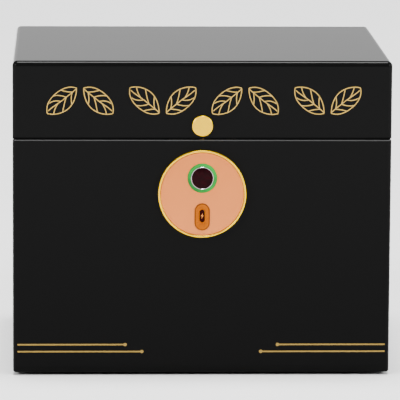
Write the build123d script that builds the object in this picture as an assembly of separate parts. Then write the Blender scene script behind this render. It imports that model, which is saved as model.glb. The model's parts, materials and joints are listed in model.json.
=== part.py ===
from build123d import *
from math import acos, cos, pi, radians, sin, tan
import os

# Humidor: a tall black lacquered desk chest with a hinged lid, a cedar lining and a fingerprint lock.
# Millimetres. The origin is at the middle of the footprint on the table, X to the right, Y to the back.

# Chest
width = 250.0
depth = 210.0
seam_height = 158.0
wall = 14.0
base_thickness = 10.0
foot_height = 2.0
foot_radius = 11.0
foot_inset = 24.0
corner_radius = 3.0
seam_edge_radius = 1.0
base_edge_radius = 1.2

# Lid
lid_gap = 0.4
lid_height = 51.6
lid_panel_thickness = 12.0
lid_edge_radius = 3.4
lip_clearance = 0.5

# Cedar lining
liner = 5.0
liner_top = 3.0
floor_liner = 5.0
lip_height = 6.0
lip_lead = 1.0
lid_liner_clearance = 2.0

# Tray, its rails and its sliding divider
tray_height = 36.0
tray_board = 7.0
tray_floor_thickness = 4.0
tray_rebate = 3.0
tray_clearance = 0.8
tray_above_seam = 2.0
rail_width = 6.0
rail_height = 8.0
finger_length = 56.0
finger_depth = 14.0
air_slot_length = 52.0
air_slot_width = 6.0
air_slot_pitch = 28.0
air_slot_bridge = 20.0
tray_corner = 1.5
divider_thickness = 5.0
divider_clearance = 0.4
groove_depth = 3.0
groove_height = 3.6
groove_level = 22.0
divider_drop = 3.0
divider_round = 1.0

# Lock cover plate on the front of the chest
lock_drop = 35.8
bezel_radius = 29.1
bezel_width = 1.3
bezel_proud = 3.2
bezel_floor = 1.0
bezel_round = 0.5
spigot_radius = 25.8
spigot_wall = 1.5
face_gap = 0.3
face_thickness = 1.4
front_skin = 3.2
bore_clearance = 0.2

# Fingerprint sensor
sensor_rise = 10.6
led_radius = 9.7
led_inner_radius = 7.6
led_proud = 0.5
sensor_rim_radius = 7.5
lens_radius = 6.95
lens_dome = 0.3
stem_radius = 5.6
stem_length = 3.0
stem_root = 0.5
face_bevel = 0.2
led_bevel = 0.3
rim_bevel = 0.15
part_gap = 0.05

# Charging port
port_drop = 15.2
port_width = 9.9
port_height = 18.0
port_proud = 0.6
port_round = 0.5
slot_width = 3.5
slot_height = 8.5
slot_rise = 0.7
shell_width = 3.2
shell_height = 8.9
shell_wall = 0.3
shell_depth = 7.0
shell_end = 1.0
tongue_width = 0.7
tongue_height = 6.7
tongue_set_back = 2.0
plug_clearance = 0.15
plug_set_back = 0.4
plug_round = 0.25
plug_core = 1.2

# Lock case inside the front wall
case_width = 54.0
case_height = 67.0
case_wall = 1.2
case_clearance = 0.2
case_top_drop = 1.6
plate_thickness = 1.5
plate_front = 2.6
plate_gap = 0.1
selvage_length = 72.0
strike_length = 46.0
loop_width = 3.0
loop_front = 4.8
loop_depth = 7.2
loop_leg = 1.4
loop_foot = 1.6
loop_round = 1.2
loop_root = 0.5
eye_height = 5.0
eye_drop = 4.5
loop_slot_clearance = 0.8
plate_screw_inset = 4.5
plate_screw_line = 5.5

# Bolt with its rack, and the pinion on the motor shaft
gear_module = 0.75
pinion_teeth = 12
pressure_angle = 20.0
backlash = 0.1
rack_addendum = 0.5
rack_tooth_sunk = 0.2
pinion_wall_gap = 0.35
pinion_reach = 9.1
pinion_hub_height = 0.9
pinion_hub_step = 0.3
bolt_height = 4.0
bolt_eye_gap = 0.5
nose_thickness = 3.2
nose_gap = 0.6
bolt_tip = 2.6
bolt_tip_chamfer = 0.6
web_width = 2.4
web_gap = 0.55
rack_end_gap = 0.5
rack_back = 2.7
guide_gap = 0.2
guide_start = 0.9
guide_width = 3.6
guide_wall = 1.3
guide_back_gap = 0.6
ledge_start = 1.0
ledge_gap = 0.5
shaft_radius = 1.5
motor_width = 12.0
motor_thickness = 10.0
motor_length = 25.0
motor_gap = 1.9
gearbox_length = 9.0
shaft_rise = 1.0
board_thickness = 1.2
board_motor_gap = 0.7
board_height = 46.0
board_drop = 11.5
board_post = 3.6
post_radius = 1.5
post_inset = 2.5
post_drop = 8.5
post_rise = 30.0
chip_size = 8.0
chip_height = 1.0
chip_rise = 18.0
radio_width = 13.0
radio_length = 11.0
radio_height = 1.8
radio_rise = 31.0
battery_gap = 1.0
battery_board_gap = 2.3
battery_height = 44.0
battery_thickness = 8.0
battery_rise = 5.0
battery_corner = 1.5
boss_radius = 1.9
boss_sunk = 0.4
boss_bore = 0.8
boss_depth = 5.0
boss_drop = 4.5
cover_corner = 1.5
cover_screw_head = 1.5
cover_screw_head_height = 0.6
cover_screw_length = 5.1
can_clearance = 0.5
socket_clearance = 0.2

# Lid knob
knob_rise = 9.0
knob_radius = 6.8
knob_proud = 2.4
knob_bevel = 0.5
knob_bevel_height = 0.4
knob_foot = 0.4
knob_spigot_radius = 3.0
knob_spigot_length = 5.0
knob_spigot_end_gap = 0.2
knob_screw_start = 1.0
knob_screw_seat = 2.5
knob_screw_sunk = 0.4
knob_screw_room = 0.3

# Hinges
hinge_spacing = 150.0
hinge_length = 40.0
hinge_leaf_depth = 12.0
hinge_leaf = 1.6
hinge_leaf_gap = 0.2
hinge_offset = 2.0
knuckle_radius = 3.0
knuckle_gap = 0.15
pin_radius = 1.5
pin_clearance = 0.05
knuckle_clearance = 0.4
hinge_screw_pitch = 14.0
hinge_screw_line = 7.0
leaf_corner = 1.5

# Screws
screw_radius = 1.3
screw_head_radius = 2.5
screw_head_height = 1.2
screw_length = 9.0
screw_tip = 2.0
screw_gap = 0.05

# Humidifier and hygrometer under the lid
humidifier_length = 92.0
humidifier_width = 46.0
humidifier_height = 13.0
humidifier_wall = 2.0
humidifier_corner = 5.0
foam_gap = 0.2
humidifier_inset = 68.0
grille_thickness = 1.6
grille_slot_width = 3.0
grille_slot_pitch = 7.0
grille_slots = 10
grille_slot_length = 14.4
grille_bridge = 3.3
grille_round = 0.8
meter_radius = 24.0
meter_height = 11.0
meter_wall = 1.5
meter_inset = 48.0
meter_rim_width = 3.5
meter_rim_height = 2.5
dial_level = 3.5
glass_thickness = 1.2
glass_seat = 0.7
meter_bevel = 0.8
meter_rim_top_gap = 0.5
arbor_sunk = 2.2
arbor_rise = 1.0
needle_length = 16.0
needle_tail = 6.0
needle_thickness = 0.5
needle_level = 2.0
needle_half = 0.9
needle_tip_half = 0.35
needle_hub_radius = 2.0
needle_cap_radius = 1.5
needle_cap_height = 0.5
needle_rest_angle = 54.0
arbor_radius = 0.9
arbor_clearance = 0.08

# Gilt ornament
gilt_height = 0.25
leaf_stroke = 0.62
leaf_width = 19.1
leaf_row_rise = 25.6
leaf_row_shift = 0.9
leaf_stalk_rise = 8.3
leaf_pair_gap = 4.8
leaf_pair_pitch = 54.3
leaf_pairs = 4
line_width = 1.0
line_bead_radius = 1.15
lower_line_drop = 141.9
upper_line_drop = 137.2
lower_line_start = 39.5
upper_line_start = 50.6

# Places worked out from the sizes above
knuckle_proud = hinge_offset + knuckle_radius
front = -(depth + bezel_proud + knuckle_proud) / 2 + bezel_proud
back = front + depth
mid_y = (front + back) / 2
lid_bottom = seam_height + lid_gap
lid_top = lid_bottom + lid_height
lid_ceiling = lid_top - lid_panel_thickness
lid_wall = wall - lip_clearance
inner_x = width / 2 - wall
inner_front = front + wall
inner_back = back - wall
room_x = inner_x - liner
room_front = inner_front + liner
room_back = inner_back - liner
chest_floor = foot_height + base_thickness
room_floor = chest_floor + floor_liner
lip_top = seam_height + lip_height
tray_top = seam_height + tray_above_seam
tray_bottom = tray_top - tray_height
lock_z = seam_height - lock_drop
sensor_z = lock_z + sensor_rise
port_z = lock_z - port_drop
slot_z = port_z + slot_rise
case_top = seam_height - case_top_drop
case_bottom = case_top - case_height
case_front = front + front_skin
cover_front = room_front - case_wall
case_inner_front = case_front + case_wall
hinge_y = back + hinge_offset
hinge_z = seam_height + lid_gap / 2
pitch_radius = gear_module * pinion_teeth / 2
pinion_outer = pitch_radius + gear_module
rack_end = case_width / 2 - case_wall - rack_end_gap
pinion_x = rack_end - pinion_reach
board_width = 2 * (pinion_x - motor_width / 2 - board_motor_gap)
web_end = pinion_x - pinion_outer - web_gap
web_start = web_end - web_width
pinion_y = case_inner_front + pinion_wall_gap + pinion_outer
rack_line = pinion_y + pitch_radius
eye_bottom = lid_bottom - eye_drop - eye_height
bolt_bottom = eye_bottom + bolt_eye_gap
bolt_top = bolt_bottom + bolt_height
bolt_front = front + loop_front + loop_leg + nose_gap
humidifier_x = humidifier_inset - room_x
meter_x = room_x - meter_inset
meter_floor = lid_ceiling - liner_top
meter_face = meter_floor - meter_height


def block(x0, x1, y0, y1, z0, z1):
    """A box between two corners."""
    size = Box(x1 - x0, y1 - y0, z1 - z0)
    return Pos((x0 + x1) / 2, (y0 + y1) / 2, (z0 + z1) / 2) * size


def rod_y(radius, y0, y1, x=0.0, z=0.0):
    """A cylinder along Y."""
    return Pos(x, (y0 + y1) / 2, z) * Rot(90, 0, 0) * Cylinder(radius, y1 - y0)


def rod_z(radius, z0, z1, x=0.0, y=0.0):
    """A cylinder along Z."""
    return Pos(x, y, (z0 + z1) / 2) * Cylinder(radius, z1 - z0)


def rod_x(radius, x0, x1, y=0.0, z=0.0):
    """A cylinder along X."""
    return Pos((x0 + x1) / 2, y, z) * Rot(0, 90, 0) * Cylinder(radius, x1 - x0)


def upright_slot(slot_w, slot_h, y0, y1, x=0.0, z=0.0):
    """A stadium standing on end in the XZ plane, run along Y."""
    outline = Plane.XZ * Rot(0, 0, 90) * SlotOverall(slot_h, slot_w)
    return Pos(x, y0, z) * extrude(outline, y1 - y0, dir=(0, 1, 0))


def screw_z(x, y, head_z, length, down=True):
    """A countersunk wood screw, its head flush at head_z."""
    way = -1 if down else 1
    profile = Polyline(
        (0, 0), (screw_head_radius, 0), (screw_radius, screw_head_height), (screw_radius, length - screw_tip),
        (0, length), (0, 0)
    )
    turned = revolve(make_face(profile), Axis.Y)
    return Pos(x, y, head_z) * Rot(90 * way, 0, 0) * turned


def screw_hole_z(x, y, head_z, length, down=True):
    """The clearance for screw_z."""
    way = -1 if down else 1
    g = screw_gap
    profile = Polyline(
        (0, -g), (screw_head_radius + g, -g), (screw_head_radius + g, 0),
        (screw_radius + g, screw_head_height + g), (screw_radius + g, length + g), (0, length + g), (0, -g)
    )
    turned = revolve(make_face(profile), Axis.Y)
    return Pos(x, y, head_z) * Rot(90 * way, 0, 0) * turned


def mitre_wedges(z0, z1, thickness):
    """Four trapezoid prisms that cut a frame at its 45 degree mitres."""
    x = width / 2
    t = thickness
    plans = {
        "front": [(-x, front), (x, front), (x - t, front + t), (-x + t, front + t)],
        "back": [(-x, back), (x, back), (x - t, back - t), (-x + t, back - t)],
        "left": [(-x, front), (-x, back), (-x + t, back - t), (-x + t, front + t)],
        "right": [(x, front), (x, back), (x - t, back - t), (x - t, front + t)],
    }
    wedges = {}
    for side, plan in plans.items():
        face = make_face(Polyline(*plan, close=True))
        wedges[side] = Pos(0, 0, z0) * extrude(face, z1 - z0, dir=(0, 0, 1))
    return wedges


def outer_box(z0, z1):
    """The chest's outline between two heights, with its upright edges rounded."""
    solid = block(-width / 2, width / 2, front, back, z0, z1)
    return fillet(solid.edges().filter_by(Axis.Z), corner_radius)


def face_edges(solid, z):
    """The edges of the horizontal face at height z."""
    return solid.faces().filter_by(Axis.Z).sort_by(lambda f: abs(f.center().Z - z))[0].edges()


def hinge_places():
    """The X of each hinge's middle."""
    return [-hinge_spacing / 2, hinge_spacing / 2]


def hinge_recess(x, upper):
    """What a hinge needs cut from the back of the chest or of the lid."""
    x0 = x - hinge_length / 2 - plate_gap
    x1 = x + hinge_length / 2 + plate_gap
    half_gap = hinge_leaf_gap / 2
    reach = half_gap + hinge_leaf
    y0 = back - hinge_leaf_depth - plate_gap
    leaf_z = (hinge_z, hinge_z + reach) if upper else (hinge_z - reach, hinge_z)
    cut = block(x0, x1, y0, back + knuckle_radius, *leaf_z)
    return cut + rod_x(knuckle_radius + knuckle_clearance, x0, x1, hinge_y, hinge_z)


def hinge_screw_spots(x):
    """Three screws a leaf."""
    return [(x + step * hinge_screw_pitch, back - hinge_screw_line) for step in (-1, 0, 1)]


# The chest
def chest_walls():
    outer = outer_box(foot_height, seam_height)
    outer = fillet(face_edges(outer, seam_height), seam_edge_radius)
    outer = fillet(face_edges(outer, foot_height), base_edge_radius)
    hollow = block(-inner_x, inner_x, inner_front, inner_back, foot_height - 1, seam_height + 1)
    ring = outer - hollow
    walls = {}
    for side, wedge in mitre_wedges(foot_height, seam_height, wall).items():
        walls[side + "_wall"] = ring & wedge
    walls["front_wall"] -= lock_mortise()
    for x in hinge_places():
        walls["back_wall"] -= hinge_recess(x, upper=False)
        for sx, sy in hinge_screw_spots(x):
            top = hinge_z - hinge_leaf_gap / 2
            walls["back_wall"] -= screw_hole_z(sx, sy, top, screw_length)
    return walls


def selvage_screw_spots():
    x = selvage_length / 2 - plate_screw_inset
    y = front + plate_front + plate_screw_line
    return [(-x, y), (x, y)]


def lock_mortise():
    """The bore for the cover plate's spigot, the pocket for the case and the seat for the top plate."""
    c = case_clearance
    x = case_width / 2 + c
    pocket = block(-x, x, case_front, inner_front + 1, case_bottom - c, seam_height - plate_thickness)
    bore = rod_y(spigot_radius + bore_clearance, front - 1, case_front + 1, 0, lock_z)
    seat_x = selvage_length / 2 + plate_gap
    seat_front = front + plate_front - plate_gap
    seat = block(-seat_x, seat_x, seat_front, inner_front + 1, seam_height - plate_thickness, seam_height + 1)
    cut = pocket + bore + seat
    for x, y in selvage_screw_spots():
        cut += screw_hole_z(x, y, seam_height, screw_length)
    return cut


def base_panel():
    return block(-inner_x, inner_x, inner_front, inner_back, foot_height, chest_floor)


def foot_pads():
    pads = []
    for x in (-width / 2 + foot_inset, width / 2 - foot_inset):
        for y in (front + foot_inset, back - foot_inset):
            pads.append(rod_z(foot_radius, 0, foot_height, x, y))
    return Compound(pads)


# Cedar lining of the chest, whose top edge stands up as the lid's sealing lip
def lip_board(x0, x1, y0, y1, outer_side):
    board = block(x0, x1, y0, y1, room_floor, lip_top)
    top = board.faces().sort_by(Axis.Z)[-1]
    edge = {
        "front": top.edges().sort_by(Axis.Y)[0],
        "back": top.edges().sort_by(Axis.Y)[-1],
        "left": top.edges().sort_by(Axis.X)[0],
        "right": top.edges().sort_by(Axis.X)[-1],
    }[outer_side]
    return chamfer(edge, lip_lead)


def chest_lining():
    boards = {
        "cedar_floor": block(-inner_x, inner_x, inner_front, inner_back, chest_floor, room_floor),
        "cedar_front": lip_board(-inner_x, inner_x, inner_front, room_front, "front"),
        "cedar_back": lip_board(-inner_x, inner_x, room_back, inner_back, "back"),
        "cedar_left": lip_board(-inner_x, -room_x, room_front, room_back, "left"),
        "cedar_right": lip_board(room_x, inner_x, room_front, room_back, "right"),
    }
    c = case_clearance
    x = case_width / 2 + c
    window = block(-x, x, inner_front - 1, room_front + 1, case_bottom - c, case_top + c)
    boards["cedar_front"] -= window
    return boards


def tray_rails():
    """Two strips on the side boards that carry the tray."""
    rails = []
    for side in (-1, 1):
        x0, x1 = sorted((side * room_x, side * (room_x - rail_width)))
        strip = block(x0, x1, room_front, room_back, tray_bottom - rail_height, tray_bottom)
        rails.append(strip)
    return Compound(rails)


# The lock's cover plate
def lock_bezel():
    r = bezel_radius
    inner = r - bezel_width
    rim = Polyline(
        (0, 0), (0, -bezel_floor), (inner, -bezel_floor), (inner, -bezel_proud), (r, -bezel_proud), (r, 0),
        (spigot_radius, 0), (spigot_radius, front_skin), (spigot_radius - spigot_wall, front_skin),
        (spigot_radius - spigot_wall, 0), (0, 0)
    )
    cup = revolve(make_face(rim), Axis.Y)
    tips = cup.edges().filter_by(GeomType.CIRCLE).group_by(Axis.Y)[0]
    cup = fillet(tips, bezel_round)
    cup = Pos(0, front, lock_z) * cup
    cup -= rod_y(stem_radius + part_gap, front - bezel_floor - 1, front + 1, 0, sensor_z)
    gap = 2 * part_gap
    y0 = front - bezel_floor - 1
    cup -= upright_slot(shell_width + gap, shell_height + gap, y0, front + 1, 0, slot_z)
    return cup


def lock_face():
    radius = bezel_radius - bezel_width - face_gap
    y1 = front - bezel_floor
    y0 = y1 - face_thickness
    plate = rod_y(radius, y0, y1, 0, lock_z)
    plate = chamfer(plate.edges().group_by(Axis.Y)[0], face_bevel)
    plate -= rod_y(led_radius + part_gap, y0 - 1, y1 + 1, 0, sensor_z)
    gap = 2 * part_gap
    return plate - upright_slot(port_width + gap, port_height + gap, y0 - 1, y1 + 1, 0, port_z)


def seat_ring(outer, inner, proud, bevel):
    """A ring that stands on the bezel's floor around the sensor."""
    y1 = front - bezel_floor
    y0 = y1 - face_thickness - proud
    ring = rod_y(outer, y0, y1, 0, sensor_z) - rod_y(inner, y0 - 1, y1 + 1, 0, sensor_z)
    return chamfer(ring.edges().group_by(Axis.Y)[0], bevel)


def sensor_lens():
    """A shallow domed window with the sensor can behind it."""
    y1 = front - bezel_floor
    y0 = y1 - face_thickness - led_proud
    ball_radius = (lens_radius**2 + lens_dome**2) / (2 * lens_dome)
    ball = Pos(0, y0 + ball_radius, sensor_z) * Sphere(ball_radius)
    window = rod_y(lens_radius, y0 - 1, y1, 0, sensor_z) & ball
    return window + rod_y(stem_radius, y1 - stem_root, y1 + stem_length, 0, sensor_z)


def port_bezel():
    y1 = front - bezel_floor
    y0 = y1 - face_thickness - port_proud
    pill = upright_slot(port_width, port_height, y0, y1, 0, port_z)
    pill = fillet(pill.edges().group_by(Axis.Y)[0], port_round)
    return pill - upright_slot(slot_width, slot_height, y0 - 1, y1 + 1, 0, slot_z)


def usb_socket():
    y0 = front - bezel_floor
    y1 = y0 + shell_depth
    shell = upright_slot(shell_width, shell_height, y0, y1, 0, slot_z)
    bore_w = shell_width - 2 * shell_wall
    bore_h = shell_height - 2 * shell_wall
    shell -= upright_slot(bore_w, bore_h, y0 - 1, y1 - shell_end, 0, slot_z)
    half_w = tongue_width / 2
    half_h = tongue_height / 2
    y2 = y1 - shell_end / 2
    return shell + block(-half_w, half_w, y0 + tongue_set_back, y2, slot_z - half_h, slot_z + half_h)


def port_plug():
    """The soft dust plug that fills the charging slot."""
    c = 2 * plug_clearance
    y1 = front - bezel_floor - plug_clearance
    y0 = front - bezel_floor - face_thickness - port_proud + plug_set_back
    head = upright_slot(slot_width - c, slot_height - c, y0, y1, 0, slot_z)
    head = fillet(head.edges().group_by(Axis.Y)[0], plug_round)
    core_w = shell_width - 2 * shell_wall - c
    core_h = shell_height - 2 * shell_wall - 2 * c
    return head + upright_slot(core_w, core_h, y1 - plug_round, y1 + plug_core, 0, slot_z)


# The lock's case and what it holds
def case_boss_spots():
    inset = case_wall + boss_radius - boss_sunk
    x = case_width / 2 - inset
    low = case_bottom + inset
    high = case_top - inset
    return [(-x, low), (x, low), (-x, high), (x, bolt_bottom - motor_gap - boss_drop)]


def lock_case():
    half = case_width / 2
    w = case_wall
    shell = block(-half, half, case_front, cover_front, case_bottom, case_top)
    shell -= block(-half + w, half - w, case_inner_front, cover_front + 1, case_bottom + w, case_top - w)
    for x, z in case_boss_spots():
        boss = rod_y(boss_radius, case_inner_front, cover_front, x, z)
        shell += boss - rod_y(boss_bore, cover_front - boss_depth, cover_front + 1, x, z)
    post_x = board_width / 2 - post_inset
    for x in (-post_x, post_x):
        for z in (slot_z - post_drop, slot_z + post_rise):
            shell += rod_y(post_radius, case_inner_front, case_inner_front + board_post, x, z)
    # The C guide round the bolt's nose, open to the back for the web that carries the rack
    x0 = bolt_tip + guide_start
    x1 = x0 + guide_width
    lo = bolt_bottom - guide_gap
    hi = bolt_top + guide_gap
    guide_back = cover_front - guide_back_gap
    shell += block(x0, x1, case_inner_front, guide_back, lo - guide_wall, lo)
    shell += block(x0, x1, case_inner_front, guide_back, hi, hi + guide_wall)
    shell += block(x0, x1, case_inner_front, bolt_front - guide_gap, lo - guide_wall, hi + guide_wall)
    # The ledge under the rack's back
    ledge_front = pinion_y + motor_thickness / 2 + ledge_gap
    shell += block(pinion_x + ledge_start, half - w, ledge_front, guide_back, lo - guide_wall, lo)
    # Holes for the strike loop, the sensor's can and the charging socket
    y0, y1 = loop_slot_y()
    x = loop_slot_half()
    shell -= block(-x, x, y0, y1, case_top - w - 1, case_top + 1)
    shell -= rod_y(stem_radius + can_clearance, case_front - 1, case_inner_front + 1, 0, sensor_z)
    c = 2 * socket_clearance
    y0 = case_front - 1
    y1 = case_inner_front + 1
    return shell - upright_slot(shell_width + c, shell_height + c, y0, y1, 0, slot_z)


def lock_cover():
    half = case_width / 2
    plate = block(-half, half, cover_front, room_front, case_bottom, case_top)
    plate = fillet(plate.edges().filter_by(Axis.Y), cover_corner)
    for x, z in case_boss_spots():
        plate -= rod_y(boss_bore + screw_gap, cover_front - 1, room_front + 1, x, z)
        seat = room_front - cover_screw_head_height
        plate -= rod_y(cover_screw_head + screw_gap, seat, room_front + 1, x, z)
    return plate


def cover_screws():
    screws = []
    for x, z in case_boss_spots():
        neck = room_front - cover_screw_head_height
        shank = rod_y(boss_bore - screw_gap, neck - cover_screw_length, neck, x, z)
        screws.append(shank + rod_y(cover_screw_head, neck, room_front, x, z))
    return Compound(screws)


def loop_slot_half():
    return loop_width / 2 + loop_slot_clearance


def loop_slot_y():
    y0 = front + loop_front - loop_slot_clearance
    return y0, front + loop_front + loop_depth + loop_slot_clearance


def lock_faceplate():
    """The brass plate let into the chest's top edge, with the strike loop's slot."""
    half = selvage_length / 2
    y2 = inner_front - plate_gap
    plate = block(-half, half, front + plate_front, y2, seam_height - plate_thickness, seam_height)
    y0, y1 = loop_slot_y()
    x = loop_slot_half()
    plate -= block(-x, x, y0, y1, seam_height - plate_thickness - 1, seam_height + 1)
    for sx, sy in selvage_screw_spots():
        plate -= screw_hole_z(sx, sy, seam_height, screw_length)
    return plate


def lock_motor():
    z1 = bolt_bottom - motor_gap
    gearbox = block(
        pinion_x - motor_width / 2, pinion_x + motor_width / 2, pinion_y - motor_thickness / 2,
        pinion_y + motor_thickness / 2, z1 - gearbox_length, z1
    )
    can = rod_z(motor_width / 2, z1 - motor_length, z1 - gearbox_length, pinion_x, pinion_y)
    slab = block(
        pinion_x - motor_width / 2, pinion_x + motor_width / 2, pinion_y - motor_thickness / 2,
        pinion_y + motor_thickness / 2, z1 - motor_length, z1 - gearbox_length
    )
    shaft = rod_z(shaft_radius, z1 - shaft_rise, bolt_top + shaft_rise, pinion_x, pinion_y)
    return gearbox + (can & slab) + shaft


def tooth_half_angle(radius):
    """Half the angle that a pinion tooth takes up at a radius."""
    base = pitch_radius * cos(radians(pressure_angle))
    involute = lambda r: tan(acos(base / r)) - acos(base / r)
    at_pitch = pi / (2 * pinion_teeth) - backlash / (4 * pitch_radius)
    return at_pitch + involute(pitch_radius) - involute(max(radius, base))


def lock_pinion():
    base = pitch_radius * cos(radians(pressure_angle))
    root = pitch_radius - 1.25 * gear_module
    radii = [root, base, pitch_radius, (pitch_radius + pinion_outer) / 2, pinion_outer]
    points = []
    for tooth in range(pinion_teeth):
        middle = pi / 2 + 2 * pi * tooth / pinion_teeth
        rising = [(r, middle - tooth_half_angle(r)) for r in radii]
        falling = [(r, middle + tooth_half_angle(r)) for r in reversed(radii)]
        points += [(r * cos(a), r * sin(a)) for r, a in rising + falling]
    wheel = extrude(make_face(Polyline(*points, close=True)), bolt_height, dir=(0, 0, 1))
    wheel += rod_z(root - pinion_hub_step, -pinion_hub_height, 0)
    wheel -= rod_z(shaft_radius + pin_clearance, -2, bolt_height + 1)
    return Pos(pinion_x, pinion_y, bolt_bottom) * wheel


def lock_bolt():
    """The sliding bolt: a nose that shoots through the strike loop, a web and a rack."""
    nose = block(bolt_tip, web_end, bolt_front, bolt_front + nose_thickness, bolt_bottom, bolt_top)
    nose = chamfer(nose.edges().filter_by(Axis.Z).group_by(Axis.X)[0], bolt_tip_chamfer)
    bar_back = rack_line + rack_back
    web = block(web_start, web_end, bolt_front, bar_back, bolt_bottom, bolt_top)
    root_y = rack_line + 1.25 * gear_module
    bar = block(web_start, rack_end, root_y, bar_back, bolt_bottom, bolt_top)
    bolt = nose + web + bar
    pitch = pi * gear_module
    lean = tan(radians(pressure_angle))
    half = pitch / 4 - backlash / 2
    tip_y = rack_line - rack_addendum
    tip_half = half - rack_addendum * lean
    root_half = half + 1.25 * gear_module * lean
    for step in (-1.5, -0.5, 0.5, 1.5, 2.5, 3.5):
        x = pinion_x + step * pitch
        if x + root_half > rack_end or x - root_half < web_end:
            continue
        plan = Polyline(
            (x - root_half, root_y + rack_tooth_sunk), (x - root_half, root_y), (x - tip_half, tip_y),
            (x + tip_half, tip_y), (x + root_half, root_y), (x + root_half, root_y + rack_tooth_sunk),
            close=True
        )
        bolt += Pos(0, 0, bolt_bottom) * extrude(make_face(plan), bolt_height, dir=(0, 0, 1))
    return bolt


def circuit_board():
    y0 = case_inner_front + board_post
    y1 = y0 + board_thickness
    z0 = slot_z - board_drop
    board = block(-board_width / 2, board_width / 2, y0, y1, z0, z0 + board_height)
    chip_z = z0 + chip_rise
    chip = block(-chip_size / 2, chip_size / 2, y1, y1 + chip_height, chip_z, chip_z + chip_size)
    radio_z = z0 + radio_rise
    radio = block(-radio_width / 2, radio_width / 2, y1, y1 + radio_height, radio_z, radio_z + radio_length)
    return board + chip + radio


def battery():
    x0 = -case_width / 2 + case_wall + battery_gap
    x1 = -board_width / 2 - battery_board_gap
    z0 = case_bottom + case_wall + battery_rise
    cell = block(x0, x1, case_inner_front, case_inner_front + battery_thickness, z0, z0 + battery_height)
    return fillet(cell.edges().filter_by(Axis.Z), battery_corner)


# The lid
def knob_z():
    return lid_bottom + knob_rise


def strike_screw_spots():
    x = strike_length / 2 - plate_screw_inset
    y = front + plate_front + plate_screw_line
    return [(-x, y), (x, y)]


def lid_rails():
    outer = outer_box(lid_bottom, lid_ceiling)
    outer = fillet(face_edges(outer, lid_bottom), seam_edge_radius)
    t = lid_wall
    x = width / 2 - t
    ring = outer - block(-x, x, front + t, back - t, lid_bottom - 1, lid_ceiling + 1)
    rails = {}
    for side, wedge in mitre_wedges(lid_bottom, lid_ceiling, t).items():
        rails["lid_" + side] = ring & wedge
    half = strike_length / 2 + plate_gap
    y0 = front + plate_front - plate_gap
    rails["lid_front"] -= block(-half, half, y0, front + t + 1, lid_bottom - 1, lid_bottom + plate_thickness)
    for sx, sy in strike_screw_spots():
        rails["lid_front"] -= screw_hole_z(sx, sy, lid_bottom, screw_length, down=False)
    z = knob_z()
    spigot_end = front + knob_spigot_length + knob_spigot_end_gap
    head_radius = screw_head_radius + knob_screw_room
    rails["lid_front"] -= rod_y(knob_spigot_radius + part_gap, front - 1, spigot_end, 0, z)
    rails["lid_front"] -= rod_y(screw_radius + screw_gap, front, front + t + 1, 0, z)
    rails["lid_front"] -= rod_y(head_radius, front + t - knob_screw_seat, front + t + 1, 0, z)
    for hx in hinge_places():
        rails["lid_back"] -= hinge_recess(hx, upper=True)
        for sx, sy in hinge_screw_spots(hx):
            bottom = hinge_z + hinge_leaf_gap / 2
            rails["lid_back"] -= screw_hole_z(sx, sy, bottom, screw_length, down=False)
    return rails


def lid_panel():
    panel = outer_box(lid_ceiling, lid_top)
    return fillet(face_edges(panel, lid_top), lid_edge_radius)


def lid_lining():
    x = width / 2 - lid_wall
    y0 = front + lid_wall
    y1 = back - lid_wall
    top_z = lid_ceiling - liner_top
    low_z = lip_top + lid_liner_clearance
    t = liner
    return {
        "lid_cedar_top": block(-x, x, y0, y1, top_z, lid_ceiling),
        "lid_cedar_front": block(-x, x, y0, y0 + t, low_z, top_z),
        "lid_cedar_back": block(-x, x, y1 - t, y1, low_z, top_z),
        "lid_cedar_left": block(-x, -x + t, y0 + t, y1 - t, low_z, top_z),
        "lid_cedar_right": block(x - t, x, y0 + t, y1 - t, low_z, top_z),
    }


def knob():
    """A turned brass disc with a spigot let into the lid."""
    r = knob_radius
    p = knob_proud
    profile = Polyline(
        (0, -p), (r - knob_bevel, -p), (r, -p + knob_bevel_height), (r, -knob_foot), (r - knob_foot, 0),
        (knob_spigot_radius, 0), (knob_spigot_radius, knob_spigot_length), (0, knob_spigot_length), (0, -p)
    )
    turned = Pos(0, front, knob_z()) * revolve(make_face(profile), Axis.Y)
    bore_start = front + knob_screw_start - knob_foot
    bore_end = front + knob_spigot_length + 1
    return turned - rod_y(screw_radius + screw_gap, bore_start, bore_end, 0, knob_z())


def knob_screw():
    head_start = front + lid_wall - knob_screw_seat
    head_end = front + lid_wall - knob_screw_sunk
    shank = rod_y(screw_radius, front + knob_screw_start, head_end, 0, knob_z())
    return shank + rod_y(screw_head_radius, head_start, head_end, 0, knob_z())


def strike_plate():
    """The plate under the lid's front edge, with the loop that the bolt shoots through."""
    half = strike_length / 2
    y1 = front + lid_wall - plate_gap
    plate = block(-half, half, front + plate_front, y1, lid_bottom, lid_bottom + plate_thickness)
    for sx, sy in strike_screw_spots():
        plate -= screw_hole_z(sx, sy, lid_bottom, screw_length, down=False)
    half_loop = loop_width / 2
    y0 = front + loop_front
    z0 = eye_bottom - loop_foot
    loop = block(-half_loop, half_loop, y0, y0 + loop_depth, z0, lid_bottom + loop_root)
    loop = fillet(loop.edges().filter_by(Axis.X).group_by(Axis.Z)[0], loop_round)
    eye_y0 = y0 + loop_leg
    eye_y1 = y0 + loop_depth - loop_leg
    loop -= block(-loop_width, loop_width, eye_y0, eye_y1, eye_bottom, eye_bottom + eye_height)
    return plate + loop


# Hinges
def hinge_knuckles(x, upper):
    """The outer two knuckles belong to the chest's leaf and the middle one to the lid's."""
    third = hinge_length / 3
    if upper:
        spans = [(-third / 2 + knuckle_gap, third / 2 - knuckle_gap)]
    else:
        spans = [(-hinge_length / 2, -third / 2 - knuckle_gap), (third / 2 + knuckle_gap, hinge_length / 2)]
    return [(x + a, x + b) for a, b in spans]


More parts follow.
